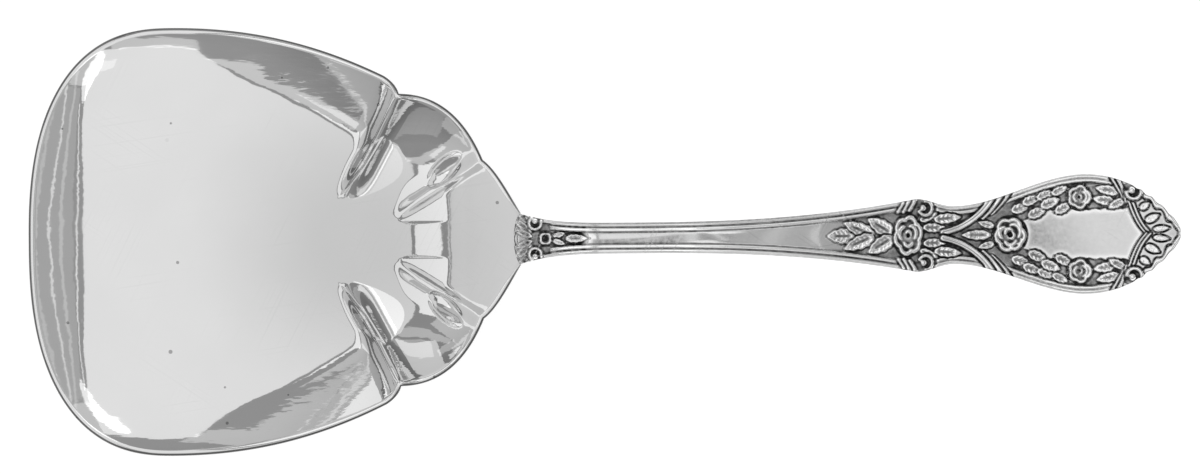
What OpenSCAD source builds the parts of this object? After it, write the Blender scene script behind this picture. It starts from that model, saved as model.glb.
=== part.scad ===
// Sugar spoon: a fluted shovel bowl of sheet silver, soldered in a lap joint to a struck handle.
// X runs from the bowl's front edge to the handle's tip, Y across the spoon and Z up.
// The origin is half way along the spoon, on the surface that it lies on.

/* [Bowl] */
// Length from the front edge to the neck
bowl_len = 66; // [60:0.5:72]
// Width at the widest point
bowl_w = 56.5; // [50:0.5:62]
// Length of the rounded front, from the front edge to the widest point
front_len = 19; // [16:0.5:23]
// Squareness of the front corners: 2 is an ellipse, a higher number is squarer
front_power = 2.5; // [2:0.1:3]
// Thickness of the sheet, measured upright
sheet = 1.1; // [0.8:0.1:1.5]
// Height of the rim at the middle of the front edge
front_h = 4.2; // [3.4:0.1:5.5]
// Height of the rim at the front corners
corner_h = 2.6; // [2.2:0.1:3.4]
// Height of the rim at the widest point
widest_h = 3; // [2.6:0.1:4]
// Height of the rim at the shoulders
shoulder_h = 8; // [7:0.5:10]
// How far the curve of the wall reaches in from the rim at the middle of the front
front_wall = 13; // [10:0.5:15]
// How far it reaches in at the front corners
corner_wall = 7.5; // [6.5:0.5:9]
// How far it reaches in at the widest point
widest_wall = 7.5; // [6.5:0.5:9]
// How far it reaches in at the shoulders
shoulder_wall = 10.5; // [9:0.5:12]
// How far the walls turn to the front at the shoulders, in degrees
shoulder_turn = 28; // [22:1:34]

/* [Heel flutes] */
// Length from the neck forward to the shoulder notches
shoulder_len = 16.9; // [15:0.1:19]
// Width between the shoulder notches
shoulder_w = 38.4; // [36:0.2:41]
// Length from the neck forward to the notches beside the middle lobe
lobe_len = 6; // [5:0.1:7]
// Width between the notches beside the middle lobe
lobe_w = 20.9; // [19:0.1:23]
// Rounding of the shoulders just before their notches
shoulder_round = 2; // [1.5:0.1:2.5]
// Depth of the two side flutes at the rim
flute_depth = 1.2; // [0.6:0.1:1.8]
// How far the ridges beside the middle lobe stand above it at the rim
ridge_lift = 0.8; // [0.4:0.1:1.2]
// Length of the bend between the floor and the middle lobe's ramp
heel_bend = 10.2; // [8:0.2:12]
// Width of the middle lobe at the foot of that bend
heel_foot_w = 1.2; // [0.8:0.1:2]

/* [Neck joint] */
// Height of the bowl's inner face at the neck
neck_h = 8; // [7.4:0.2:8.8]
// Upward slope of the lap joint, in degrees
lap_angle = 28; // [25:1:32]
// Width of the bowl's tang at the neck, where it goes under the handle
tang_w = 3.8; // [3:0.1:4]
// Width of the tang at its end
tang_end_w = 2.2; // [1.6:0.1:2.8]
// Length of the tang behind the neck
tang_len = 5; // [4:0.5:7]
// Length of the handle's leaf end in front of the neck
leaf_len = 2; // [1.5:0.1:2.5]
// Width of the leaf end at its front edge
fan_w = 7.8; // [6.6:0.1:8.4]
// Thickness of the silver solder in the lap
solder_t = 0.1; // [0.05:0.05:0.2]
// Margin of bare metal that the solder leaves at the joint's edges
solder_margin = 0.3; // [0.2:0.1:0.5]
// Thickness of the leaf end at its front edge
leaf_t = 0.5; // [0.3:0.1:0.8]
// Thickness of the handle over the tang
tongue_t = 1.3; // [1:0.1:1.8]

/* [Handle] */
// Length from the neck to the tip
handle_len = 86; // [78:0.5:94]
// Width of the scrolled end at the neck
neck_w = 6; // [5.4:0.1:7]
// Width of the stem where it is narrowest
stem_w = 4; // [3.6:0.1:5]
// Length from the neck to the narrowest point of the stem
stem_len = 14; // [11:0.5:18]
// Width across the scrolls at the waist
waist_w = 9.6; // [8.5:0.1:11]
// Length from the neck to the waist scrolls
waist_len = 51; // [47:0.5:53]
// Width of the hollow behind the waist scrolls
hollow_w = 7.6; // [6.8:0.1:8.4]
// Length from the neck to that hollow
hollow_len = 56; // [54:0.5:59]
// Widest width of the terminal
terminal_w = 15.8; // [14:0.1:18]
// Length from the neck to the widest point of the terminal
terminal_len = 73.5; // [70:0.5:77]
// Width of the blunt tip
tip_w = 1.2; // [0.8:0.1:2]
// Thickness of the terminal
terminal_t = 1.8; // [1.4:0.1:2.4]
// Height of the handle's upper face at its crest
crest_h = 12.8; // [12:0.2:14]
// Length from the neck to the crest
crest_len = 14; // [12:0.5:16]
// Length from the tip back to where the underside touches the table
rest_len = 16; // [13:0.5:19]
// How far the tip turns up
tip_lift = 0.6; // [0:0.1:1.2]

/* [Relief] */
// Width of the raised border along each edge
border_w = 1; // [0.7:0.1:1.3]
// Width of the sloping sides of the border
bevel_w = 0.3; // [0.2:0.05:0.4]
// Depth of the sunk ground between the borders
ground_depth = 0.35; // [0.2:0.05:0.6]

/* [Hidden] */

silver = [0.86, 0.86, 0.87];
solder_grey = [0.7, 0.71, 0.72];

// Places along X
front_x = -(bowl_len + handle_len) / 2;
neck_x = front_x + bowl_len;
tip_x = neck_x + handle_len;
widest_x = front_x + front_len;
shoulder_x = neck_x - shoulder_len;
lobe_x = neck_x - lobe_len;
lap_start_x = neck_x - leaf_len;
tang_x = neck_x + tang_len;
stem_x = neck_x + stem_len;
waist_x = neck_x + waist_len;
hollow_x = neck_x + hollow_len;
terminal_x = neck_x + terminal_len;
crest_x = neck_x + crest_len;
rest_x = tip_x - rest_len;

// The lap joint's plane, on the bowl's inner face
lap_slope = tan(lap_angle);
function lap_z(x) = neck_h + lap_slope * (x - neck_x);

// Counts of points and rings
front_steps = 12;
side_steps = 9;
round_steps = 3;
lobe_steps = 8;
neck_steps = 6;
wall_rings = 9;
stem_stations = 24;
waist_stations = 6;
terminal_stations = 16;
tip_stations = 14;
panel_columns = 3;

function clamp01(u) = min(1, max(0, u));
function mix(a, b, u) = a + (b - a) * u;
function ease(u) = let (v = clamp01(u)) v * v * (3 - 2 * v);
function bezier2(a, b, c, u) = mix(mix(a, b, u), mix(b, c, u), u);
function bezier3(a, b, c, d, u) = mix(bezier2(a, b, c, u), bezier2(b, c, d, u), u);
// Cubic from height a with slope da to height b with slope db over a run
function hermite(a, da, b, db, run, u) =
    a * (1 + 2 * u) * (1 - u) ^ 2 + da * run * u * (1 - u) ^ 2
    + b * u ^ 2 * (3 - 2 * u) + db * run * u ^ 2 * (u - 1);

// The bowl's outline

shoulder_notch = [shoulder_x, shoulder_w / 2];
lobe_notch = [lobe_x, lobe_w / 2];
neck_corner = [neck_x, tang_w / 2];
// Ends and bends of the outline's curves, as shares of what they cross
round_start = shoulder_notch + shoulder_round * [-1, 1.2];
round_bend = shoulder_notch + shoulder_round * [-0.2, 0.7];
side_lead = 0.36;
side_tail = [0.32, -0.16];
lobe_lead = 0.67;
middle_lead = [0.39, 0.2];
middle_tail = [0.75, 0.8];

function front_point(a) = [
    widest_x - front_len * cos(a) ^ (2 / front_power),
    bowl_w / 2 * sin(a) ^ (2 / front_power)
];
function side_point(u) =
    let (from = [widest_x, bowl_w / 2], run = round_start.x - from.x)
    bezier3(from, from + [side_lead * run, 0], round_start - run * side_tail, round_start, u);
function round_point(u) = bezier2(round_start, round_bend, shoulder_notch, u);
function lobe_point(u) =
    bezier2(
        shoulder_notch,
        [mix(shoulder_notch.x, lobe_notch.x, lobe_lead), shoulder_notch.y],
        lobe_notch,
        u
    );
function middle_point(u) =
    let (run = neck_corner - lobe_notch)
    bezier3(
        lobe_notch,
        lobe_notch + [middle_lead.x * run.x, middle_lead.y * run.y],
        lobe_notch + [middle_tail.x * run.x, middle_tail.y * run.y],
        neck_corner,
        u
    );

// The bowl's inner face

// Where the line of the lap's plane would meet the floor
heel_x = neck_x - (neck_h - sheet) / lap_slope;
heel_foot = [heel_x - heel_bend / 2, heel_foot_w / 2];
shoulder_foot = shoulder_notch - shoulder_wall * [sin(shoulder_turn), cos(shoulder_turn)];
// Height of the middle lobe: floor, bend and straight ramp, alike all the way across
function ramp_h(x) =
    let (u = clamp01((x - heel_foot.x) / heel_bend))
    sheet + lap_slope * (heel_bend / 2 * u ^ 2 + max(0, x - heel_foot.x - heel_bend));

// Each column of the wall is a rim point, a foot point, the height of a plain wall,
// the share of the ramp, the share of the flute's depth and the share that bends up from the floor.
// Share of the front's turn at which the corner lies
corner_share = 0.55;
// How gently the sides begin to rise
side_rise = 1.6;
// Share of the side walls that bends up from the floor, and of the side flutes at their middle
side_bend = 0.4;
flute_bend = 0.6;
// Share of the sides over which the walls take up that bend
bend_share = 0.45;
// How much steeper the walls are at the rim than at the end of the bend
rim_gain = 0.7;
// Share of a wall's height at u, from 0 at its foot to 1 at its rim
function wall_rise(u, bend) =
    let (past = max(0, u - bend))
    (min(u, bend) ^ 2 / (2 * bend) + past + rim_gain * past ^ 2 / 2)
    / (1 - bend / 2 + rim_gain * (1 - bend) ^ 2 / 2);
function front_column(u) =
    let (
        rim = front_point(90 * u),
        to_corner = ease(u / corner_share),
        past_corner = ease((u - corner_share) / (1 - corner_share)),
        reach = mix(mix(front_wall, corner_wall, to_corner), widest_wall, past_corner),
        high = mix(mix(front_h, corner_h, to_corner), widest_h, past_corner)
    )
    [rim, rim + reach * [cos(90 * u), -sin(90 * u)], high, 0, 0, 1];
function side_column(rim) =
    let (
        u = clamp01((rim.x - widest_x) / (shoulder_x - widest_x)),
        turn = shoulder_turn * ease(u),
        reach = mix(widest_wall, shoulder_wall, u),
        bend = mix(1, side_bend, ease(u / bend_share))
    )
    [rim, rim - reach * [sin(turn), cos(turn)], mix(widest_h, shoulder_h, u ^ side_rise), 0, 0, bend];
// How far the foot of the side flutes bends to the front
flute_bulge = [-1.5, -0.2];
function lobe_column(u) =
    let (middle = mix(shoulder_foot, heel_foot, 0.5) + flute_bulge, share = 4 * u * (1 - u))
    [
        lobe_point(u), bezier2(shoulder_foot, middle, heel_foot, u),
        shoulder_h, ease(u), share, mix(side_bend, flute_bend, share)
    ];
function heel_column(rim) =
    [rim, [heel_foot.x, heel_foot.y * rim.y / lobe_notch.y], shoulder_h, 1, 0, 1];

half_columns = concat(
    [for (i = [0:front_steps - 1]) front_column(i / front_steps)],
    [for (i = [0:side_steps - 1]) side_column(side_point(i / side_steps))],
    [for (i = [0:round_steps - 1]) side_column(round_point(i / round_steps))],
    [for (i = [0:lobe_steps - 1]) lobe_column(i / lobe_steps)],
    [for (i = [0:neck_steps - 1]) heel_column(middle_point(i / neck_steps))],
    [for (rim = [neck_corner, [tang_x, tang_end_w / 2], [tang_x, 0]]) heel_column(rim)]
);
half_count = len(half_columns);
columns = concat(
    half_columns,
    [for (i = [half_count - 2:-1:1]) let (c = half_columns[i], flip = [[1, 0], [0, -1]])
        [flip * c[0], flip * c[1], c[2], c[3], c[4], c[5]]]
);
column_count = len(columns);

// Point on the wall at column c: u is 0 at the foot of the wall and 1 at the rim
function wall_point(c, u) =
    let (
        spot = mix(c[1], c[0], u),
        wall = mix(sheet, c[2], wall_rise(u, c[5])),
        beside = max(0, abs(spot.y) - tang_w / 2) / (lobe_notch.y - tang_w / 2),
        ramp = ramp_h(spot.x) + ridge_lift * beside ^ 3 * u
    )
    [spot.x, spot.y, mix(wall, ramp, c[3]) - flute_depth * c[4] * u ^ 2];

module bowl() {
    inner = [for (j = [0:wall_rings], c = columns) wall_point(c, j / wall_rings)];
    count = len(inner);
    points = concat(inner, [for (p = inner) p - [0, 0, sheet]]);
    last = wall_rings * column_count;
    floor_face = [for (i = [0:column_count - 1]) i];
    walls = [
        for (j = [0:wall_rings - 1], i = [0:column_count - 1])
            let (
                a = j * column_count + i,
                b = j * column_count + (i + 1) % column_count,
                c = b + column_count,
                d = a + column_count
            )
            each [[c, b, a], [d, c, a]]
    ];
    rim = [
        for (i = [0:column_count - 1])
            let (a = last + i, b = last + (i + 1) % column_count)
            each [[b + count, b, a], [a + count, b + count, a]]
    ];
    faces = concat(
        [floor_face],
        walls,
        [[for (i = [column_count - 1:-1:0]) i + count]],
        [for (f = walls) [f[2] + count, f[1] + count, f[0] + count]],
        rim
    );
    color(silver) polyhedron(points, faces);
}

// The handle's outline, spine and thickness

rebate_x = tang_x + solder_t;
stem_t = tongue_t + solder_t + sheet;
function along(x, from, to) = clamp01((x - from) / (to - from));
// Powers of the curves that flare the outline at the leaf end, neck and waist and round it at the tip
fan_flare = 1.5;
neck_flare = 4;
waist_flare = 2.5;
tip_flare = 2;
tip_round = 0.8;
function half_w(x) =
    x < neck_x ? mix(neck_w, fan_w, along(x, neck_x, lap_start_x) ^ fan_flare) / 2
    : x < stem_x ? mix(neck_w, stem_w, 1 - (1 - along(x, neck_x, stem_x)) ^ neck_flare) / 2
    : x < waist_x ? mix(stem_w, waist_w, along(x, stem_x, waist_x) ^ waist_flare) / 2
    : x < hollow_x ? mix(waist_w, hollow_w, ease(along(x, waist_x, hollow_x))) / 2
    : x < terminal_x ? mix(hollow_w, terminal_w, ease(along(x, hollow_x, terminal_x))) / 2
    : mix(tip_w, terminal_w, (1 - along(x, terminal_x, tip_x) ^ tip_flare) ^ tip_round) / 2;
// Height of the upper face along the middle
function top_z(x) =
    x < neck_x ? lap_z(x) + solder_t + mix(leaf_t, tongue_t, ease(along(x, lap_start_x, neck_x)))
    : x < crest_x ? hermite(
        neck_h + solder_t + tongue_t, lap_slope, crest_h, 0, crest_len, along(x, neck_x, crest_x)
    )
    : x < rest_x ? hermite(crest_h, 0, terminal_t, 0, rest_x - crest_x, along(x, crest_x, rest_x))
    : terminal_t + tip_lift * along(x, rest_x, tip_x) ^ 2;
function thickness(x) = mix(stem_t, terminal_t, ease(along(x, tang_x, waist_x)));
function under_z(x) = x <= rebate_x ? lap_z(x) + solder_t : top_z(x) - thickness(x);

// Most of the half width that bevel and border may take, and of the thickness that each form may take
bevel_share = 0.12;
border_share = 0.45;
depth_share = 0.3;
back_power = 4;
// One cross-section, as columns of [y, upper z, lower z] from one edge to the other
function section(x) =
    let (
        w = half_w(x),
        high = top_z(x),
        low = under_z(x),
        most = depth_share * (high - low),
        bevel = min(bevel_w, bevel_share * w),
        border = min(border_w, border_share * w),
        panel = w - border - bevel,
        ground = high - min(ground_depth, most),
        rounding = x <= rebate_x ? 0 : most,
        half = concat(
            [[w, high - most], [w - bevel, high], [w - border, high]],
            [for (k = [panel_columns:-1:0]) [panel * k / panel_columns, ground]]
        ),
        last = len(half) - 1,
        upper = concat(half, [for (k = [last - 1:-1:0]) [-half[k][0], half[k][1]]])
    )
    [for (p = upper) [p[0], p[1], low + rounding * (abs(p[0]) / w) ^ back_power]];

function steps(from, to, count) = [for (i = [1:count]) mix(from, to, i / count)];
stations = concat(
    [lap_start_x],
    steps(lap_start_x, neck_x, 3),
    steps(neck_x, rebate_x, 3),
    [rebate_x + bevel_w],
    steps(rebate_x + bevel_w, waist_x, stem_stations),
    steps(waist_x, hollow_x, waist_stations),
    steps(hollow_x, rest_x, terminal_stations),
    steps(rest_x, tip_x, tip_stations)
);

module handle() {
    sections = [for (x = stations) section(x)];
    columns = len(sections[0]);
    rows = len(stations);
    count = columns * rows;
    upper = [for (j = [0:rows - 1], p = sections[j]) [stations[j], p[0], p[1]]];
    lower = [for (j = [0:rows - 1], p = sections[j]) [stations[j], p[0], p[2]]];
    skin = [
        for (j = [0:rows - 2], i = [0:columns - 2])
            let (a = j * columns + i, b = a + 1, c = b + columns, d = a + columns)
            each [[c, b, a], [d, c, a]]
    ];
    sides = [
        for (j = [0:rows - 2], side = [0, 1])
            let (
                a = j * columns + side * (columns - 1),
                d = a + columns,
                near = side == 0 ? d : a,
                far = side == 0 ? a : d
            )
            each [[near, far, far + count], [near, far + count, near + count]]
    ];
    ends = [
        for (i = [0:columns - 2], end = [0, 1])
            let (
                a = end * (rows - 1) * columns + i,
                near = end == 0 ? a : a + 1,
                far = end == 0 ? a + 1 : a
            )
            each [[near, far, far + count], [near, far + count, near + count]]
    ];
    faces = concat(skin, [for (f = skin) [f[2] + count, f[1] + count, f[0] + count]], sides, ends);
    color(silver) polyhedron(concat(upper, lower), faces);
}

module solder_seam() {
    // Outline of the tang in the lap's own plane, from the neck, drawn in by the margin
    stretch = 1 / cos(lap_angle);
    front = (solder_margin - leaf_len) * stretch;
    back = (tang_len - solder_margin) * stretch;
    front_half = tang_w / 2 - solder_margin;
    back_half = tang_end_w / 2 - solder_margin;
    color(solder_grey)
        translate([neck_x, 0, neck_h])
            rotate([0, -lap_angle, 0])
                linear_extrude(solder_t * cos(lap_angle))
                    polygon([
                        [front, -front_half],
                        [0, -front_half],
                        [back, -back_half],
                        [back, back_half],
                        [0, front_half],
                        [front, front_half]
                    ]);
}

bowl();
handle();
solder_seam();
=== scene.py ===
import math

import bmesh
import bpy
import numpy as np
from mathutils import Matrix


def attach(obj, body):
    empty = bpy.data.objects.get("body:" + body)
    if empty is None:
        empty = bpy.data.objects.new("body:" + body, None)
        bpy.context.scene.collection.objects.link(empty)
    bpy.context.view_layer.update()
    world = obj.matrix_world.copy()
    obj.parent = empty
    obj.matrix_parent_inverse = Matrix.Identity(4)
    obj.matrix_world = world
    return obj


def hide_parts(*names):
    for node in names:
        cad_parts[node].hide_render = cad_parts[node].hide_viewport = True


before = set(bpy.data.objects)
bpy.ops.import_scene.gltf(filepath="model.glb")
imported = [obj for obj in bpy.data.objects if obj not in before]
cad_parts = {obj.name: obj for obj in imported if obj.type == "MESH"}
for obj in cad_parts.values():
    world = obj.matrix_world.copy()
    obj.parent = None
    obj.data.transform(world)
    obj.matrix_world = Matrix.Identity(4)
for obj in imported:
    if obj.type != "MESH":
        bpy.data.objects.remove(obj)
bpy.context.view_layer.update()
mm = 0.001  # lengths below are in millimetres unless a note says otherwise
print("frame loaded:", sorted(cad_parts))


# Small helpers for curves

def mix(a, b, u):
    return a + (b - a) * u


def ease(u):
    v = np.clip(u, 0, 1)
    return v * v * (3 - 2 * v)


def along(x, start, end):
    return np.clip((x - start) / (end - start), 0, 1)


def fade(x, ends):
    # from 0 at the first of two places to 1 at the second
    return ease(along(x, *ends))


def span(x, start, end):
    # 1 between two soft ends, each a pair of places
    return fade(x, start) * (1 - fade(x, end))


def settle(x, start, end, left):
    # from 1 at the first place to what is left at the second
    return mix(1.0, left, ease(along(x, start, end)))


def evenly(count):
    return np.linspace(0, 1, count, endpoint=False)


def hermite(a, da, b, db, run, u):
    rise = a * (1 + 2 * u) * (1 - u) ** 2 + b * u ** 2 * (3 - 2 * u)
    return rise + run * (da * u * (1 - u) ** 2 + db * u ** 2 * (u - 1))


def bezier(points, u):
    layer = [np.asarray(p, float) + np.zeros((len(u), 2)) for p in points]
    while len(layer) > 1:
        layer = [mix(a, b, u[:, None]) for a, b in zip(layer, layer[1:])]
    return layer[0]


# Small helpers for nodes

def joined(tree, kind, links=(), **settings):
    # adds a node, sets its sockets and links others into it
    node = tree.nodes.new(kind)
    for name, value in settings.items():
        setattr(node, name, value)
    for socket, source in links:
        if hasattr(source, "links"):
            tree.links.new(source, node.inputs[socket])
        else:
            node.inputs[socket].default_value = source
    return node


def math2(tree, operation, a, b):
    return joined(tree, "ShaderNodeMath", ((0, a), (1, b)), operation=operation).outputs[0]


def ranged(tree, value, low, high, start=0.0, end=1.0):
    sockets = (("Value", value), ("From Min", low), ("From Max", high), ("To Min", start), ("To Max", end))
    return joined(tree, "ShaderNodeMapRange", sockets).outputs[0]


# Camera straight above, turned a little because the spoon lies slightly askew in the picture

cameraView = {
    "lens": 200.0,
    "sensor": 36.0,
    "frameWidth": 157.8,
    "centre": (-0.66, 0.16, 6.0),
    "turn": -0.5,  # degrees
    "farEnd": 20.0,  # metres
}


def makeCamera(view):
    data = bpy.data.cameras.new("camera")
    data.lens = view["lens"]
    data.sensor_width = view["sensor"]
    data.clip_end = view["farEnd"]
    camera = bpy.data.objects.new("camera", data)
    x, y, z = view["centre"]
    distance = view["frameWidth"] * view["lens"] / view["sensor"]
    camera.location = (x * mm, y * mm, (z + distance) * mm)
    camera.rotation_euler = (0, 0, math.radians(view["turn"]))
    bpy.context.scene.collection.objects.link(camera)
    bpy.context.scene.camera = camera


makeCamera(cameraView)


# Studio: a pale floor, a long softbox overhead and panels all round

studio = {
    "floorSize": 6.0,  # metres
    "floorTone": 0.8,
    "floorGlow": 0.78,  # share of the floor's white that shadows leave
    "floorShade": 0.45,  # the floor's tone beside its glow
    "worldHigh": 0.42,
    "worldLow": 0.20,
    "worldFade": 0.6,  # how far up the sky has its high tone
    # name, azimuth and angle from overhead in degrees, distance, size along the arc, size across, radiance,
    # shift to the side; lengths in metres
    "panels": (
        ("softbox", 0, 0, 0.70, 0.454, 1.33, 0.54, 0),
        ("heelPanel", 180, 30, 0.90, 0.30, 0.90, 0.76, 0),
        ("heelStrip", 180, 44.5, 0.90, 0.02, 0.90, 0.35, 0),
        ("heelLowPanel", 180, 61.5, 0.90, 0.50, 0.80, 0.42, 0),
        ("fluteUpper", -144.5, 58, 0.90, 0.50, 0.48, 0.28, 0),
        ("fluteLower", 144.5, 58, 0.90, 0.50, 0.48, 0.28, 0),
        ("archUpper", -92.7, 25.8, 0.244, 0.035, 0.04, 0.16, 0),
        ("archLower", 92.7, 25.8, 0.244, 0.035, 0.04, 0.40, 0),
        ("lobeLower", 48, 27, 0.90, 0.172, 1.16, 0.26, 1.26),
        ("lobeLowerFar", 122, 70, 0.90, 0.10, 0.22, 0.25, 0),
        ("flankUpper", -43, 8.5, 0.85, 0.158, 0.78, 0.34, -0.95),
        ("flankFront", -95, 47, 0.90, 0.14, 0.35, 0.30, 0),
        ("fluteUpperSide", -106, 71, 0.90, 0.30, 0.34, 0.12, 0),
        ("fluteLowerSide", 105, 71, 0.90, 0.40, 0.34, 0.45, 0),
        ("flankLower", 88, 63, 0.90, 0.24, 0.72, 0.20, 0),
        ("shoulderLower", 128, 82, 0.90, 0.20, 0.24, 0.50, 0),
        ("lipPanel", 0, 38, 0.90, 0.42, 0.64, 0.10, 0),
        ("lipStrip", 8, 22.5, 0.90, 0.014, 0.35, 0.60, 0),
        ("lipStreakA", -4, 31, 0.90, 0.03, 0.90, 0.16, 0),
        ("lipStreakB", 3, 37, 0.90, 0.02, 0.80, 0.36, 0),
        ("lipStreakC", 0, 45, 0.90, 0.03, 1.00, 0.14, 0),
        ("lipWedge", 20, 46, 0.90, 0.05, 0.30, 0.65, 0),
        ("cornerUpper", 0, 30, 0.90, 0.36, 0.80, 0.28, -0.74),
        ("cornerLower", 0, 30, 0.90, 0.36, 0.80, 0.28, 0.74),
        ("crescentUpper", -5, 21, 0.90, 0.136, 0.644, 0.60, -0.414),
        ("crescentLower", 31.7, 25.9, 0.90, 0.14, 0.644, 0.62, 0.218),
        ("cornerEndUpper", -62, 56, 0.90, 0.32, 0.28, 0.36, 0),
        ("cornerEndLower", 62, 54, 0.90, 0.28, 0.25, 0.45, 0),
        ("fluteUpperLow", -136, 79, 0.90, 0.26, 0.60, 0.24, 0),
        ("fluteLowerLow", 140, 79, 0.90, 0.26, 0.50, 0.24, 0),
    ),
    "ovals": ("crescentUpper", "crescentLower"),  # panels that taper to both ends
}


def makePanels(panels, ovals):
    for name, azimuth, angle, distance, size, across, radiance, shift in panels:
        data = bpy.data.lights.new(name, "AREA")
        data.shape = "ELLIPSE" if name in ovals else "RECTANGLE"
        data.size = size
        data.size_y = across
        area = size * across * (math.pi / 4 if name in ovals else 1)
        data.energy = radiance * math.pi * area
        lamp = bpy.data.objects.new(name, data)
        turn, tilt = math.radians(azimuth), math.radians(angle)
        flat = distance * math.sin(tilt)
        x = flat * math.cos(turn) - shift * math.sin(turn)
        y = flat * math.sin(turn) + shift * math.cos(turn)
        lamp.location = (x, y, distance * math.cos(tilt))
        lamp.rotation_euler = (0, tilt, turn)
        lamp.visible_camera = False
        bpy.context.scene.collection.objects.link(lamp)


def makeWorld(settings):
    world = bpy.data.worlds.new("studioWorld")
    world.use_nodes = True
    tree = world.node_tree
    tree.nodes.clear()
    place = tree.nodes.new("ShaderNodeTexCoord").outputs["Generated"]
    height = joined(tree, "ShaderNodeSeparateXYZ", ((0, place),)).outputs["Z"]
    sky = ranged(tree, height, 0.0, settings["worldFade"], settings["worldLow"], settings["worldHigh"])
    # white where the camera looks past the floor
    camera = tree.nodes.new("ShaderNodeLightPath").outputs["Is Camera Ray"]
    glow = joined(tree, "ShaderNodeMix", (("Factor", camera), ("A", sky), ("B", 1.0))).outputs[0]
    back = joined(tree, "ShaderNodeBackground", (("Strength", glow),)).outputs[0]
    joined(tree, "ShaderNodeOutputWorld", (("Surface", back),))
    bpy.context.scene.world = world


def makeFloor(settings):
    bm = bmesh.new()
    bmesh.ops.create_grid(bm, x_segments=1, y_segments=1, size=settings["floorSize"] / 2)
    mesh = bpy.data.meshes.new("floor")
    bm.to_mesh(mesh)
    bm.free()
    floor = bpy.data.objects.new("floor", mesh)
    bpy.context.scene.collection.objects.link(floor)
    material = bpy.data.materials.new("paleFloor")
    material.use_nodes = True
    tree = material.node_tree
    tree.nodes.clear()
    path = tree.nodes.new("ShaderNodeLightPath").outputs
    seen = math2(tree, "MAXIMUM", path["Is Camera Ray"], path["Is Glossy Ray"])
    seen = math2(tree, "MAXIMUM", seen, path["Is Transmission Ray"])
    tones = [(level, level, level, 1) for level in (settings["floorTone"], settings["floorShade"])]
    matte, dim = [joined(tree, "ShaderNodeBsdfDiffuse", (("Color", tone),)).outputs[0] for tone in tones]
    glow = joined(tree, "ShaderNodeEmission", (("Strength", settings["floorGlow"]),)).outputs[0]
    both = joined(tree, "ShaderNodeAddShader", ((0, dim), (1, glow))).outputs[0]
    shown = joined(tree, "ShaderNodeMixShader", ((0, seen), (1, matte), (2, both))).outputs[0]
    joined(tree, "ShaderNodeOutputMaterial", (("Surface", shown),))
    mesh.materials.append(material)


makePanels(studio["panels"], studio["ovals"])
makeWorld(studio)
makeFloor(studio)
print("studio made")


# A grid bent into a closed shell: places[i, j] is where each of its points goes

welding = {"doubles": 0.002, "shortEdges": 0.001}  # merged below these lengths


def bentGrid(name, places, **fields):
    rows, columns = places.shape[:2]
    bm = bmesh.new()
    bmesh.ops.create_grid(bm, x_segments=rows - 1, y_segments=columns - 1, size=1)
    mesh = bpy.data.meshes.new(name)
    bm.to_mesh(mesh)
    bm.free()
    spot = np.empty(len(mesh.vertices) * 3)
    mesh.vertices.foreach_get("co", spot)
    spot = (spot.reshape(-1, 3) + 1) / 2
    i = np.rint(spot[:, 0] * (rows - 1)).astype(int)
    j = np.rint(spot[:, 1] * (columns - 1)).astype(int)
    mesh.vertices.foreach_set("co", (places[i, j] * mm).ravel())
    for field, values in fields.items():
        layer = mesh.attributes.new(field, "FLOAT", "POINT")
        layer.data.foreach_set("value", values[i, j].astype(np.float32))
    bm = bmesh.new()
    bm.from_mesh(mesh)
    bmesh.ops.remove_doubles(bm, verts=bm.verts, dist=welding["doubles"] * mm)
    bmesh.ops.dissolve_degenerate(bm, edges=bm.edges, dist=welding["shortEdges"] * mm)
    bmesh.ops.recalc_face_normals(bm, faces=bm.faces)
    bm.to_mesh(mesh)
    bm.free()
    mesh.shade_smooth()
    piece = bpy.data.objects.new(name, mesh)
    bpy.context.scene.collection.objects.link(piece)
    return piece


# Bowl: a shovel of sheet silver with a low front lip, rising sides and three flutes at the heel

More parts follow.
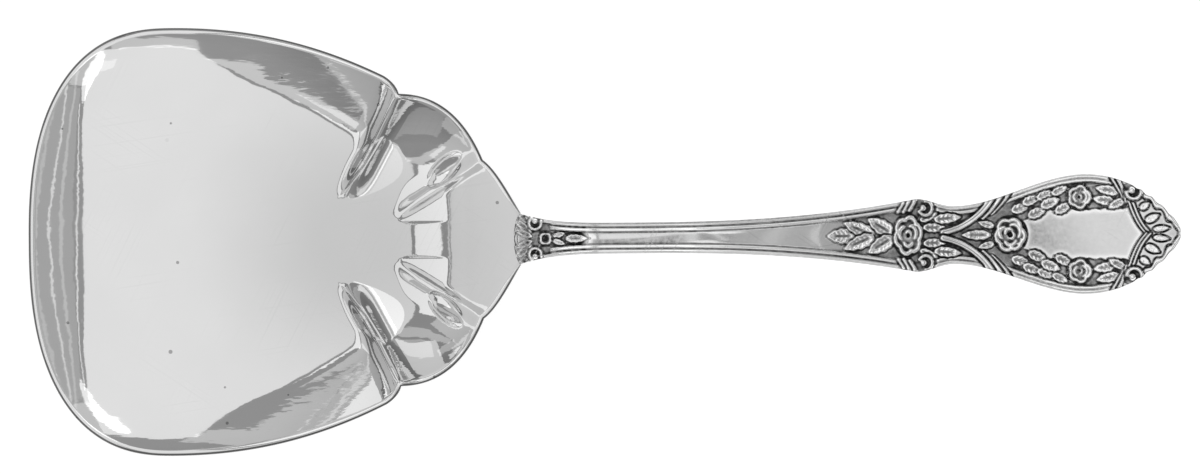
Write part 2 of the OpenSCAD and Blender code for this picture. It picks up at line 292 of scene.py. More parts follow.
bowl = {
    "frontX": -76.0,
    "neckX": -10.0,
    "width": 56.5,
    "frontLength": 19.0,
    "frontPower": 2.5,
    "cornerShare": 0.55,  # the front corner's place between the front and the widest place
    "sheet": 1.1,
    "frontHeight": 4.2,
    "cornerHeight": 2.6,
    "widestHeight": 3.0,
    "shoulderHeight": 7.4,
    "neckHeight": 8.0,
    "frontWall": 13.0,
    "cornerWall": 7.5,
    "widestWall": 7.5,
    "shoulderWall": 10.5,
    "wallTurn": 28.0,  # how far back the walls point at the shoulder, in degrees
    "sideBend": 0.4,  # share of the side walls that bends up from the floor, the rest is almost straight
    "sideBendFrom": 0.45,  # share of the side's length by which they have that bend
    "sideGain": 0.7,
    "sideHandles": ((0.36, 0.0), (-0.32, 0.16)),  # of its curve, as shares of its length
    "shoulder": (-26.9, 19.2),
    "shoulderRound": 2.0,
    "shoulderHandles": ((-1.0, 1.2), (-0.2, 0.7)),  # as shares of its rounding
    "lobe": (-16.0, 10.45),
    "lobeHandle": 0.67,
    "middleHandles": ((0.39, 0.2), (0.75, 0.8)),
    "sideRise": 1.6,
    "fluteFoot": (-31.5, 5.0),  # the floor's edge bends towards this point
    "fluteBend": 0.6,
    "fluteDepth": 0.6,
    "fluteFade": 1.0,  # the facets begin this near the shoulder
    # pressed facets at the heel: a point on the crease, direction uphill in degrees, slope, and how much
    # further back it starts across the middle
    "facets": (((-34.2, 5.2), 104.4, 0.26, 0.0), ((-27.6, 4.0), 0.0, 0.2, 2.6)),
    "facetMiddle": (1.9, 2.5),
    "facetFade": (-36.0, -33.0),
    "ridgeLift": 0.8,
    # ridges between the flutes: inner end, rim end, height, width towards the front and towards the neck
    "ridges": (
        ((-34.2, 5.6), (-26.9, 19.2), 1.1, 1.2, 1.3),
        ((-28.4, 2.7), (-16.0, 10.45), 0.45, 1.1, 0.6),
    ),
    "ridgeStart": (-0.06, 0.3),  # shares of their length in which they rise
    "ridgeEnd": (0.5, 1.0, 0.45),  # shares in which they fall, and what is left
    # leaf-shaped dents beside the outer ridges: centre, direction in degrees, half length, half width, tilt
    "dents": (((-21.1, 9.2), 44, 3.1, 1.4, (-0.2, 0.31)),),
    "dentEdge": (1.0, 0.6),
    "heelBend": 10.2,
    "heelFootHalf": 0.6,
    "lapAngle": 28.0,  # degrees
    "tangHalf": 1.9,
    "tangEndHalf": 1.1,
    "tangEndX": -5.0,
    "tangSquare": (-13.0, -10.0, 0.12),  # its edge turns square between these places, and what is left
    "spine": (-60.0, -40.0),  # the floor's rings shrink to this line
    "edgeShade": (80.0, 52.0),  # a painted shade darkens the rim's edge between these angles above the level, in degrees
    "edgeFade": (0.86, 1.0),  # and the outer wall in this share of its height
    "slopeShare": 0.02,  # share of the wall that gives its slope at the rim
    "steps": {"front": 90, "side": 70, "round": 14, "lobe": 70, "middle": 44, "tang": 8},
    "rings": {"floor": 44, "wall": 48, "lip": 10, "outer": 26, "under": 12},
}
lapSlope = math.tan(math.radians(bowl["lapAngle"]))
widestX = bowl["frontX"] + bowl["frontLength"]
# where the floor and the lap's plane would cross
heelX = bowl["neckX"] - (bowl["neckHeight"] - bowl["sheet"]) / lapSlope


def middleHeight(x):
    bend = bowl["heelBend"] / 2
    u = np.clip((x - heelX + bend) / (2 * bend), 0, 1)
    curve = lapSlope * bend * u ** 2
    return bowl["sheet"] + curve + lapSlope * np.maximum(0, x - heelX - bend)


def lapHeight(x):
    return bowl["neckHeight"] + lapSlope * (x - bowl["neckX"])


def halfOutline():
    # columns: rim, foot, wall height, share of the middle lobe, depth of the side flute, bend of the wall
    b = bowl
    n = b["steps"]
    half = b["width"] / 2
    shoulder = np.array(b["shoulder"])
    lobe = np.array(b["lobe"])
    neck = np.array([b["neckX"], b["tangHalf"]])
    rows = []

    a = np.linspace(0, math.pi / 2, n["front"], endpoint=False)
    power = 2 / b["frontPower"]
    rim = np.stack([widestX - b["frontLength"] * np.cos(a) ** power, half * np.sin(a) ** power], 1)
    turn = a / (math.pi / 2)
    corner = b["cornerShare"]
    toCorner, pastCorner = ease(turn / corner), ease((turn - corner) / (1 - corner))
    reach = mix(mix(b["frontWall"], b["cornerWall"], toCorner), b["widestWall"], pastCorner)
    inward = np.stack([np.cos(a), -np.sin(a)], 1)
    height = mix(mix(b["frontHeight"], b["cornerHeight"], toCorner), b["widestHeight"], pastCorner)
    rows.append((rim, rim + inward * reach[:, None], height, 0 * a, 0 * a, 1 + 0 * a))

    start = np.array([widestX, half])
    outer, inner = b["shoulderRound"] * np.array(b["shoulderHandles"])
    end = shoulder + outer
    first, last = (end[0] - start[0]) * np.array(b["sideHandles"])
    u = evenly(n["side"])
    side = bezier((start, start + first, end + last, end), u)
    w = evenly(n["round"])
    rim = np.concatenate([side, bezier((end, shoulder + inner, shoulder), w)])
    back = along(rim[:, 0], widestX, shoulder[0])
    angle = np.radians(-90 - b["wallTurn"] * ease(back))
    reach = mix(b["widestWall"], b["shoulderWall"], back)
    foot = rim + np.stack([np.cos(angle), np.sin(angle)], 1) * reach[:, None]
    height = mix(b["widestHeight"], b["shoulderHeight"], back ** b["sideRise"])
    curved = mix(1.0, b["sideBend"], ease(back / b["sideBendFrom"]))
    rows.append((rim, foot, height, 0 * back, 0 * back, curved))

    heelFoot = np.array([heelX - b["heelBend"] / 2, b["heelFootHalf"]])
    angle = math.radians(-90 - b["wallTurn"])
    shoulderFoot = shoulder + b["shoulderWall"] * np.array([math.cos(angle), math.sin(angle)])
    u = evenly(n["lobe"])
    fluted = 4 * u * (1 - u)
    rim = bezier((shoulder, (mix(shoulder[0], lobe[0], b["lobeHandle"]), shoulder[1]), lobe), u)
    foot = bezier((shoulderFoot, b["fluteFoot"], heelFoot), u)
    curved = mix(b["sideBend"], b["fluteBend"], fluted)
    rows.append((rim, foot, b["shoulderHeight"] + 0 * u, ease(u), fluted, curved))

    first, last = (neck - lobe) * np.array(b["middleHandles"])
    u = evenly(n["middle"])
    rim = bezier((lobe, lobe + first, lobe + last, neck), u)
    w = evenly(n["tang"])[:, None]
    tangEnd = np.array([b["tangEndX"], b["tangEndHalf"]])
    tip = tangEnd * [1, 0]
    rim = np.concatenate([rim, mix(neck, tangEnd, w), mix(tangEnd, tip, w), [tip]])
    foot = np.stack([heelFoot[0] + 0 * rim[:, 0], rim[:, 1] / lobe[1] * heelFoot[1]], 1)
    ones = np.ones(len(rim))
    rows.append((rim, foot, b["shoulderHeight"] * ones, ones, 0 * ones, ones))
    return [np.concatenate(part) for part in zip(*rows)]


def soften(values, width=1):
    reach = 3 * width
    kernel = np.exp(-0.5 * (np.arange(-reach, reach + 1) / width) ** 2)
    padded = np.concatenate([values[-reach:], values, values[:reach]])
    return np.convolve(padded, kernel / kernel.sum(), "valid")


def ridgesAt(spot):
    x, y = spot[:, 0], np.abs(spot[:, 1])
    rise = np.zeros(len(x))
    for inner, outer, high, front, back in bowl["ridges"]:
        run = np.subtract(outer, inner)
        length = np.linalg.norm(run)
        ux, uy = run / length
        s = ((x - inner[0]) * ux + (y - inner[1]) * uy) / length
        d = (x - inner[0]) * uy - (y - inner[1]) * ux
        profile = np.exp(-(d / np.where(d < 0, front, back)) ** 2)
        rise += high * profile * fade(s, bowl["ridgeStart"]) * settle(s, *bowl["ridgeEnd"])
    return rise


def facetsAt(spot):
    x, y = spot[:, 0], np.abs(spot[:, 1])
    middle = 1 - fade(y, bowl["facetMiddle"])
    rise = np.zeros(len(x))
    for (px, py), heading, slope, back in bowl["facets"]:
        turn = math.radians(heading)
        d = (x - px) * math.cos(turn) + (y - py) * math.sin(turn) - back * middle
        rise = np.maximum(rise, slope * d)
    return rise


def dentsAt(spot):
    x, y = spot[:, 0], np.abs(spot[:, 1])
    rise = np.zeros(len(x))
    for (px, py), heading, half, wide, tilt in bowl["dents"]:
        turn = math.radians(heading)
        dx, dy = x - px, y - py
        length = (dx * math.cos(turn) + dy * math.sin(turn)) / half
        across = (dy * math.cos(turn) - dx * math.sin(turn)) / wide
        inside = fade(length ** 2 + across ** 2, bowl["dentEdge"])
        rise += inside * (tilt[0] * dx + tilt[1] * dy)
    return rise


def wallRise(u, bend):
    # share of a wall's height at u, from 0 at its foot to 1 at its rim
    past = np.maximum(0, u - bend)
    gain = bowl["sideGain"]
    rise = np.minimum(u, bend) ** 2 / (2 * bend) + past + gain * past ** 2 / 2
    return rise / (1 - bend / 2 + gain * (1 - bend) ** 2 / 2)


def makeBowl():
    b = bowl
    rim, foot, height, middle, fluted, bend = halfOutline()
    # half outline and its mirror image, as one closed loop
    flip = np.array([1, -1])
    rim = np.concatenate([rim, rim[-2:0:-1] * flip])
    foot = np.concatenate([foot, foot[-2:0:-1] * flip])
    fields = [np.concatenate([f, f[-2:0:-1]]) for f in (height, middle, fluted, bend)]
    height, middle, fluted, bend = [soften(f) for f in fields]
    edge = np.roll(rim, -1, 0) - np.roll(rim, 1, 0)
    outward = np.stack([-edge[:, 1], edge[:, 0]], 1)
    outward /= np.linalg.norm(outward, axis=1)[:, None]
    shoulderX = b["shoulder"][0]
    inFlute = ease(along(rim[:, 0], shoulderX - b["fluteFade"], shoulderX + b["fluteFade"]))

    def heightAt(u, spot):
        wall = b["sheet"] + (height - b["sheet"]) * wallRise(u, bend)
        beside = np.maximum(0, np.abs(spot[:, 1]) - b["tangHalf"]) / (b["lobe"][1] - b["tangHalf"])
        heel = middleHeight(spot[:, 0]) + b["ridgeLift"] * beside ** 3 * u
        form = mix(wall, heel, middle) - b["fluteDepth"] * fluted * u ** 2
        heelward = fade(spot[:, 0], b["facetFade"])
        form = np.maximum(form, b["sheet"] + facetsAt(spot) * heelward * inFlute)
        return np.maximum(b["sheet"], form + ridgesAt(spot) + dentsAt(spot))

    def wallAt(u, end):
        spot = mix(foot, end, u)
        z = heightAt(np.full(len(foot), u), spot)
        return np.column_stack([spot, z])

    rise = wallAt(1.0, rim)[:, 2] - wallAt(1 - b["slopeShare"], rim)[:, 2]
    lean = np.arctan(rise / (b["slopeShare"] * np.linalg.norm(rim - foot, axis=1)))
    radius = b["sheet"] / 2 * np.cos(lean)
    inset = radius * settle(rim[:, 0], *b["tangSquare"])
    inner = rim - outward * (inset * (1 + np.sin(lean)))[:, None]
    outer = rim - outward * (inset * (1 - np.sin(lean)))[:, None]
    spine = np.column_stack([np.clip(foot[:, 0], *b["spine"]), 0 * foot[:, 0]])

    def floorAt(u):
        spot = mix(spine, foot, u)
        return np.column_stack([spot, heightAt(0 * foot[:, 0], spot)])

    n = b["rings"]
    rings = [floorAt(1 - u ** 2) for u in np.linspace(1, 0, n["floor"], endpoint=False)]
    rings += [wallAt(u, inner) for u in np.linspace(0, 1, n["wall"])]
    none = 0 * radius
    # painted shade along the rim's edge, as a share for each ring
    shades = [none] * len(rings)
    centreZ = rings[-1][:, 2] - radius * np.cos(lean)
    for k in range(1, n["lip"]):
        angle = math.pi / 2 + lean - math.pi * k / n["lip"]
        spot = rim - outward * (inset * (1 - np.cos(angle)))[:, None]
        rings.append(np.column_stack([spot, centreZ + radius * np.sin(angle)]))
        shades.append(fade(np.degrees(angle), b["edgeShade"]))
    low = np.array([0, 0, b["sheet"]])
    last = wallAt(1.0, outer)
    gap = centreZ - radius * np.cos(lean) - (last - low)[:, 2]
    last[:, 2] = centreZ - radius * np.cos(lean)
    rings.append(last)
    shades.append(none + 1)
    for u in np.linspace(1, 0, n["outer"])[1:]:
        ring = wallAt(u, outer) - low
        ring[:, 2] += gap * u ** 4
        rings.append(ring)
        shades.append(none + fade(u, b["edgeFade"]))
    rings += [floorAt(1 - u ** 2) - low for u in np.linspace(0, 1, n["under"])[1:]]
    shades += [none] * (n["under"] - 1)
    places, shade = np.stack(rings, 1), np.stack(shades, 1)
    places, shade = np.concatenate([places, places[:1]]), np.concatenate([shade, shade[:1]])
    return bentGrid("spoonBowl", places, edgeShade=shade)


spoonBowl = makeBowl()
print("bowl:", len(spoonBowl.data.polygons), "faces")


# Handle: outline, spine and thickness along its length

handle = {
    "leafX": -12.0,
    "tipX": 76.0,
    "fanHalf": 3.9,
    "fanRound": 0.8,  # how far the corners of the leaf end draw back
    "neckHalf": 3.0,
    "stemX": 4.0,
    "stemHalf": 2.0,
    "waistX": 41.0,
    "waistHalf": 4.8,
    "hollowX": 46.0,
    "hollowHalf": 3.8,
    "terminalX": 63.5,
    "terminalHalf": 7.9,
    "tipHalf": 0.6,
    # powers that shape the curves between those widths
    "fanPower": 1.5,
    "stemPower": 4,
    "waistPower": 2.5,
    "shellPower": 0.8,
    "shellWave": 0.22,
    "waveX": 71.6,
    "waveTurn": 4.4,  # radians per millimetre
    "waveSpan": ((69.5, 71.0), (74.8, 75.8)),
    "crestX": 4.0,
    "crestHeight": 12.78,
    "restX": 60.0,
    "tipLift": 0.6,
    "terminalThick": 1.8,
    "leafThick": 0.5,
    "tongueThick": 1.3,
    "solder": 0.1,
    "backCurl": 0.3,  # share of the thickness by which the back's edges curl up
    "backSpacing": 0.7,
    "columns": 150,
    "backColumns": 14,
    "stations": {"leaf": 62, "neck": 24, "stem": 58, "ornament": 408},
    "rebateStep": 0.3,
    "stemSpan": (-2.0, 27.0),
}


def halfWidth(x):
    h = handle
    fan = mix(h["neckHalf"], h["fanHalf"], along(x, bowl["neckX"], h["leafX"]) ** h["fanPower"])
    drawn = 1 - (1 - along(x, bowl["neckX"], h["stemX"])) ** h["stemPower"]
    stem = mix(h["neckHalf"], h["stemHalf"], drawn)
    waist = along(x, h["stemX"], h["waistX"]) ** h["waistPower"]
    waist = mix(h["stemHalf"], h["waistHalf"], waist)
    hollow = mix(h["waistHalf"], h["hollowHalf"], ease(along(x, h["waistX"], h["hollowX"])))
    swell = mix(h["hollowHalf"], h["terminalHalf"], ease(along(x, h["hollowX"], h["terminalX"])))
    shell = (1 - along(x, h["terminalX"], h["tipX"]) ** 2) ** h["shellPower"]
    shell = mix(h["tipHalf"], h["terminalHalf"], shell)
    wave = 0.5 + 0.5 * np.cos(h["waveTurn"] * (x - h["waveX"]))
    shell = shell - h["shellWave"] * span(x, *h["waveSpan"]) * wave
    places = [x < bowl["neckX"], x < h["stemX"], x < h["waistX"], x < h["hollowX"], x < h["terminalX"]]
    return np.select(places, [fan, stem, waist, hollow, swell], shell)


def topHeight(x):
    h = handle
    neckX = bowl["neckX"]
    leaf = mix(h["leafThick"], h["tongueThick"], ease(along(x, h["leafX"], neckX)))
    leaf = lapHeight(x) + h["solder"] + leaf
    start = bowl["neckHeight"] + h["solder"] + h["tongueThick"]
    run = h["crestX"] - neckX
    rise = hermite(start, lapSlope, h["crestHeight"], 0, run, along(x, neckX, h["crestX"]))
    fall = hermite(h["crestHeight"], 0, h["terminalThick"], 0, 1, along(x, h["crestX"], h["restX"]))
    tip = h["terminalThick"] + h["tipLift"] * along(x, h["restX"], h["tipX"]) ** 2
    return np.select([x < neckX, x < h["crestX"], x < h["restX"]], [leaf, rise, fall], tip)


rebateX = bowl["tangEndX"] + handle["solder"]


def underHeight(x):
    h = handle
    stemThick = h["tongueThick"] + h["solder"] + bowl["sheet"]
    thick = mix(stemThick, h["terminalThick"], ease(along(x, bowl["tangEndX"], h["waistX"])))
    return np.where(x <= rebateX, lapHeight(x) + h["solder"], topHeight(x) - thick)


# Relief on the handle's face, pressed into a height map over its plan

relief = {
    "step": 0.05,
    "reachY": 8.4,
    "soften": 0.055,
    "panel": -0.14,
    "panelCrown": 0.06,
    "sprayGround": -0.36,
    "ground": -0.48,
    # places along the handle where the ground changes
    "panelStart": (-3.5, -2.0),
    "sprayStart": (28.0, 32.5),
    "groundStart": (39.0, 43.0),
    "leafFloor": 0.1,  # metal left under the ground of the thin leaf end
    "leafTop": 0.02,
    "roseTop": 0.3,
    "scrollTop": 0.16,
    "moat": 0.16,
    "moatDepth": 0.1,
    "margin": 0.5,  # round the map, and round the patch that a motif is pressed into
}
mapX = np.arange(handle["leafX"] - relief["margin"], handle["tipX"] + relief["margin"], relief["step"])
mapY = np.arange(-relief["reachY"], relief["reachY"], relief["step"])
gridX, gridY = np.meshgrid(mapX, mapY, indexing="ij")


def blur(field, sigma):
    fx = np.fft.fftfreq(field.shape[0], relief["step"])[:, None]
    fy = np.fft.rfftfreq(field.shape[1], relief["step"])[None, :]
    keep = np.exp(-2 * (math.pi * sigma) ** 2 * (fx ** 2 + fy ** 2))
    return np.fft.irfft2(np.fft.rfft2(field) * keep, field.shape)


def patch(x, y, reach):
    i = np.searchsorted(mapX, (x - reach, x + reach))
    j = np.searchsorted(mapY, (y - reach, y + reach))
    return np.s_[i[0]:i[1], j[0]:j[1]]


def groundAt(x):
    r = relief
    level = mix(r["ground"], r["panel"], fade(x, r["panelStart"]))
    level = mix(level, r["sprayGround"], fade(x, r["sprayStart"]))
    level = mix(level, r["ground"], fade(x, r["groundStart"]))
    floor = r["leafFloor"] - (topHeight(x) - underHeight(x))
    return np.where(x < bowl["neckX"], np.maximum(level, floor), level)


def bead(d, width):
    return np.sqrt(np.clip(1 - (d / width) ** 2, 0, 1))


# thread borders, by distance from the edge
rails = {
    "narrow": (30.0, 56.0, 0.85),  # they narrow between these places, and the share that is left
    "bead": 0.36,
    "beadDrop": 0.45,
    "beadSlope": (0.3, 0.52, 0.08),  # start, end and depth
    "beadEnd": 0.53,
    "groove": 0.05,  # depth under the ground
    "grooveRange": (-0.32, -0.2),
    "thread": 0.93,
    "threadHalf": 0.27,
    "threadTop": -0.01,
    "threadRound": 0.6,
    "threadEnd": 1.31,
    "panelEdge": 1.3,
    "panelLeast": 0.3,
    "crownSpan": ((-2.5, -1.0), (26.0, 30.0)),
    "plainEnd": 0.45,
    # no threads under the neck scrolls and the waist scrolls, nor beyond the straps of the terminal
    "threadSpan": ((-7.4, -6.8), (67.4, 68.2)),
    "waistGap": ((38.4, 38.9), (43.4, 43.9)),
}


def railHeight():
    # outer bead, groove, thread and groove, then the ground
    r = rails
    w = halfWidth(gridX)
    steep = np.gradient(halfWidth(mapX), mapX)[:, None]
    t = (w - np.abs(gridY)) / np.sqrt(1 + steep ** 2)
    s = t / settle(gridX, *r["narrow"])
    level = groundAt(gridX)
    rounding = 1 - bead(np.clip(r["bead"] - s, 0, r["bead"]), r["bead"])
    start, end, depth = r["beadSlope"]
    outer = -r["beadDrop"] * rounding - depth * along(s, start, end)
    low, high = r["grooveRange"]
    groove = np.maximum(np.minimum(level, high) - r["groove"], low)
    thread = mix(groove, r["threadTop"], bead(s - r["thread"], r["threadHalf"]) ** r["threadRound"])
    crown = 1 - (gridY / np.maximum(w - r["panelEdge"], r["panelLeast"])) ** 2
    inner = level + relief["panelCrown"] * crown * span(gridX, *r["crownSpan"])
    lined = np.select([s < r["beadEnd"], s < r["threadEnd"]], [outer, thread], inner)
    plain = np.where(s < r["plainEnd"], outer, level)
    share = span(gridX, *r["threadSpan"]) * (1 - span(gridX, *r["waistGap"]))
    return mix(plain, lined, share), t


heightMap, edgeDistance = railHeight()


def cut(area, mask):
    level = groundAt(gridX[area])
    thin = gridX[area] < bowl["neckX"]
    level = level - np.where(thin, 0.0, relief["moatDepth"])
    heightMap[area] = np.where(mask, np.minimum(heightMap[area], level), heightMap[area])


def press(area, mask, height):
    heightMap[area] = np.where(mask, height, heightMap[area])


# forms of the motifs; shares are of a leaf's length or half width, or of a rose's or scroll's radius
leafForm = {
    "shape": (0.55, 0.8, 0.488),  # powers at the base and the tip, and the width that they give
    "notch": 0.07,
    "notches": 4,
    "hollow": 0.11,
    "hollowEdge": (0.8, 0.4),
    "ripple": 0.07,
    "ripplePitch": 0.6,
    "rippleSlant": 0.7,
    "rippleSpan": ((0.1, 0.3), (0.6, 0.85)),
    "vein": 0.22,
    "veinWidth": 0.14,
    "veinSpan": ((0.08, 0.22), (0.6, 0.8)),
    "rounding": 0.12,
    "roundFrom": 0.75,
    "thinTop": 0.24,  # height over the ground on the thin leaf end
}
roseForm = {"plate": 0.85, "plateDrop": 0.42, "thicker": 1.12, "rounding": 0.45, "fall": 0.08}
scrollForm = {
    "moat": 1.15,
    "ring": (0.8, 0.23, 0.7),  # radius, half width and rounding
    "gap": (0.6, 0.95),  # radians from the opening
    "ball": (0.22, 0.42),  # offset and radius
    "ballTurn": 30.0,
}
strandForm = {"points": 60, "margin": 1.0, "moat": 0.14, "groove": 0.28}


def pressLeaf(base, tip, width, top=relief["leafTop"], notches=leafForm["notches"], vein=leafForm["vein"]):
    # a raised edge round a shallow hollow with a deep vein and small veins to the sides
    f = leafForm
    base, tip = np.array(base), np.array(tip)
    length = np.linalg.norm(tip - base)
    ux, uy = (tip - base) / length
    area = patch(*((base + tip) / 2), length / 2 + relief["margin"])
    dx, dy = gridX[area] - base[0], gridY[area] - base[1]
    a = (dx * ux + dy * uy) / length
    b = dy * ux - dx * uy
    full = np.clip(a, 0, 1)
    atBase, atTip, peak = f["shape"]
    half = width / 2 * (full ** atBase * (1 - full) ** atTip) / peak
    half = half * (1 + f["notch"] * np.cos(2 * math.pi * notches * a))
    k = np.abs(b) / np.maximum(half, 1e-6)
    moat = relief["moat"]
    cut(area, (a > -moat / length) & (a < 1 + moat / length) & (np.abs(b) < half + moat))
    hollow = f["hollow"] * fade(k, f["hollowEdge"])
    place = (a * length - f["rippleSlant"] * np.abs(b)) / f["ripplePitch"]
    ripple = 0.5 + 0.5 * np.cos(2 * math.pi * place)
    hollow = hollow + f["ripple"] * ripple * span(k, *f["rippleSpan"])
    deep = vein * np.exp(-(b / f["veinWidth"]) ** 2) * span(a, *f["veinSpan"])
    rounding = f["rounding"] * along(k, f["roundFrom"], 1.0) ** 2
    thin = gridX[area] < bowl["neckX"]
    top = np.where(thin, np.minimum(top, groundAt(gridX[area]) + f["thinTop"]), top)
    press(area, (a > 0) & (a < 1) & (k < 1), top - hollow - deep - rounding)


def pressRose(rose, petals, hand=1, top=relief["roseTop"]):
    # rolled petals: crescents that bulge in one direction, round a dark heart
    f = roseForm
    x, y, rx, ry, heart = rose
    area = patch(x, y * hand, max(rx, ry) + relief["margin"])
    u, v = (gridX[area] - x) / rx, (gridY[area] - y * hand) / ry * hand
    r = np.hypot(u, v)
    cut(area, r < 1 + relief["moat"] / min(rx, ry))
    low = groundAt(gridX[area]) - relief["moatDepth"]
    press(area, (r < f["plate"]) & (r > heart), top - f["plateDrop"])
    for heading, offset, radius, spread, width in petals:
        turn = math.radians(heading)
        du, dv = u - offset * math.cos(turn), v - offset * math.sin(turn)
        off = np.arctan2(dv, du) - turn
        off = np.abs((off + math.pi) % (2 * math.pi) - math.pi) / math.radians(spread)
        thick = f["thicker"] * width * np.sqrt(np.clip(1 - off ** 4, 0, 1))
        rise = bead(np.hypot(du, dv) - radius, np.maximum(thick, 1e-4)) ** f["rounding"] * (off < 1)
        heightMap[area] = np.maximum(heightMap[area], mix(low, top - f["fall"] * offset, rise))


def pressScroll(scroll, hand):
    # an open ring round a bead
    f = scrollForm
    x, y, radius, opening = scroll
    area = patch(x, y * hand, radius + relief["margin"])
    dx, dy = (gridX[area] - x) / radius, (gridY[area] - y * hand) / radius * hand
    r = np.hypot(dx, dy)
    theta = (np.arctan2(dy, dx) - math.radians(opening) + math.pi) % (2 * math.pi) - math.pi
    cut(area, r < f["moat"])
    middle, half, rounding = f["ring"]
    ring = bead(r - middle, half) ** rounding * fade(np.abs(theta), f["gap"])
    turn = math.radians(opening + f["ballTurn"])
    offset, size = f["ball"]
    ball = bead(np.hypot(dx - offset * math.cos(turn), dy - offset * math.sin(turn)), size)
    level = groundAt(gridX[area])
    rise = (relief["scrollTop"] - level) * np.maximum(ring, ball)
    heightMap[area] = np.maximum(heightMap[area], level + rise)


def pressStrand(points, width, top=relief["scrollTop"], groove=0.0):
    f = strandForm
    line = bezier(points, np.linspace(0, 1, f["points"]))
    low, high = line.min(0), line.max(0)
    area = patch(*((low + high) / 2), np.max(high - low) / 2 + f["margin"])
    d = np.full(gridX[area].shape, np.inf)
    for px, py in line:
        d = np.minimum(d, np.hypot(gridX[area] - px, gridY[area] - py))
    cut(area, d < width + f["moat"])
    level = groundAt(gridX[area])
    height = level + (top - level) * bead(d, width) - groove * np.exp(-(d / (f["groove"] * width)) ** 2)
    press(area, d < width, height)


# Motifs: those beside the middle line are given for the upper half and mirrored

cartouche = {
    "startX": 55.2,
    "half": (1.9, 3.2),  # at the rose and beyond it
    "widen": (55.3, 59.0),
    "flare": (60.0, 69.0, 0.2),  # start, end and how much
    "wave": (0.09, 4.2),  # depth, and radians per millimetre
    "level": -0.06,
    "dish": 0.004,
    "bracket": (71.4, 0.62, 0.045),  # place on the middle line, slant and curve
}
shellTip = {
    "startX": 68.8,
    "half": 5.2,
    "centreX": 67.6,
    "ribs": 15,
    "wave": 0.1,
    "edge": 0.3,  # half width and height of the raised edge
    "edgeEnd": 0.55,
    "grooveEnd": 0.75,
    "groove": -0.45,
    "ground": -0.2,
}
ornament = {
    "centreLeaves": (
        ((32.9, 0.0), (29.2, 0.0), 2.5),
        ((51.0, 0.0), (47.0, 0.0), 1.65),
    ),
    "pairedLeaves": (
        ((35.4, 0.05), (31.4, 1.75), 2.25),
        ((38.0, 0.2), (34.6, 2.25), 2.5),
        ((41.5, 1.9), (43.9, 2.95), 1.25),
        ((41.9, 1.05), (45.2, 0.95), 1.5),
        ((43.4, 2.05), (47.1, 2.4), 1.7),
        ((51.5, 1.1), (49.2, 1.7), 1.2),
        ((53.7, 3.1), (56.2, 3.9), 1.65),
        ((55.2, 4.1), (57.6, 5.0), 1.6),
        ((55.9, 2.35), (58.5, 3.5), 1.7),
        ((57.1, 4.75), (59.5, 5.65), 1.55),
        ((57.6, 3.65), (60.2, 4.7), 1.7),
        ((59.1, 5.3), (61.2, 6.3), 1.35),
        ((59.5, 2.9), (61.8, 4.1), 1.55),
        ((68.0, 5.45), (64.8, 6.1), 1.65),
        ((67.4, 4.2), (64.4, 4.7), 1.6),
        ((68.7, 4.5), (66.5, 3.4), 1.4),
    ),
    "neckLeaves": (
        ((-9.7, 0.7), (-11.9, 2.5), 1.2),
        ((-10.0, 2.1), (-11.5, 3.4), 0.9),
        ((-9.5, 0.25), (-11.9, 1.1), 0.9),
        ((-6.9, 0.2), (-5.2, 0.75), 0.95),
    ),
    "stemLeaf": ((-5.2, 0.0), (-2.3, 0.0), 1.4),
    # painted shadows between the small leaf tips on the edge of the neck's fan
    "neckShadowDots": ((-10.55, 3.0), (-11.45, 3.55)),
    # the shell's pods, their top and the depth of their vein
    "pods": (
        ((70.7, 3.2), (72.0, 4.1), 1.0),
        ((71.4, 1.6), (73.3, 2.5), 1.15),
        ((72.4, 0.5), (74.6, 0.75), 0.9),
    ),
    "podTop": 0.12,
    "podVein": 0.06,
    # start, two bends and end of each band of the ribbon, and its width
    "ribbon": (
        ((51.0, 2.9), (51.8, 3.5), (52.7, 4.5), (53.7, 6.0), 0.36),
        ((49.9, 2.3), (50.7, 3.0), (51.6, 4.0), (52.7, 5.7), 0.36),
        ((44.6, 0.35), (47.6, 1.0), (49.9, 2.6), (51.6, 5.6), 0.46),
    ),
    "ribbonTop": 0.2,
    "ribbonGroove": 0.3,
    "straps": (
        ((38.6, 3.1), (39.3, 4.1)),
        ((39.3, 3.1), (40.1, 4.4)),
        ((40.1, 3.3), (40.9, 4.6)),
    ),
    "strapHalf": 0.3,
    "tipStraps": (
        ((66.9, 7.6), (68.0, 5.8), (69.0, 4.3)),
        ((67.55, 7.6), (68.65, 5.8), (69.0, 4.3)),
    ),
    "tipStrapHalf": 0.26,
    "bracketLine": ((69.2, 4.4), (69.9, 2.4), (70.3, 1.3), (71.6, 0.0)),
    "bracketShifts": (0.0, 0.5),
    "bracketHalf": 0.2,
    "bracketTop": 0.06,
    # scrolls: place, radius and direction of the opening in degrees
    "neckScroll": (-9.15, 2.05, 1.0, 70),
    "waistScroll": (42.2, 3.6, 1.15, 150),
    "tipScroll": (69.9, 5.6, 1.25, 130),
    # roses: place, half length, half width and the heart's share
    "neckBlossom": (-7.8, 0.0, 0.9, 0.95, 0.35),
    "waistRose": (39.9, 0.0, 1.98, 2.7, 0.1),
    "terminalRose": (53.5, 0.0, 2.2, 2.4, 0.12),
    "garlandRose": (62.75, 4.9, 1.65, 1.65, 0.1),
    "blossomTop": 0.1,
    "garlandTop": 0.22,
}
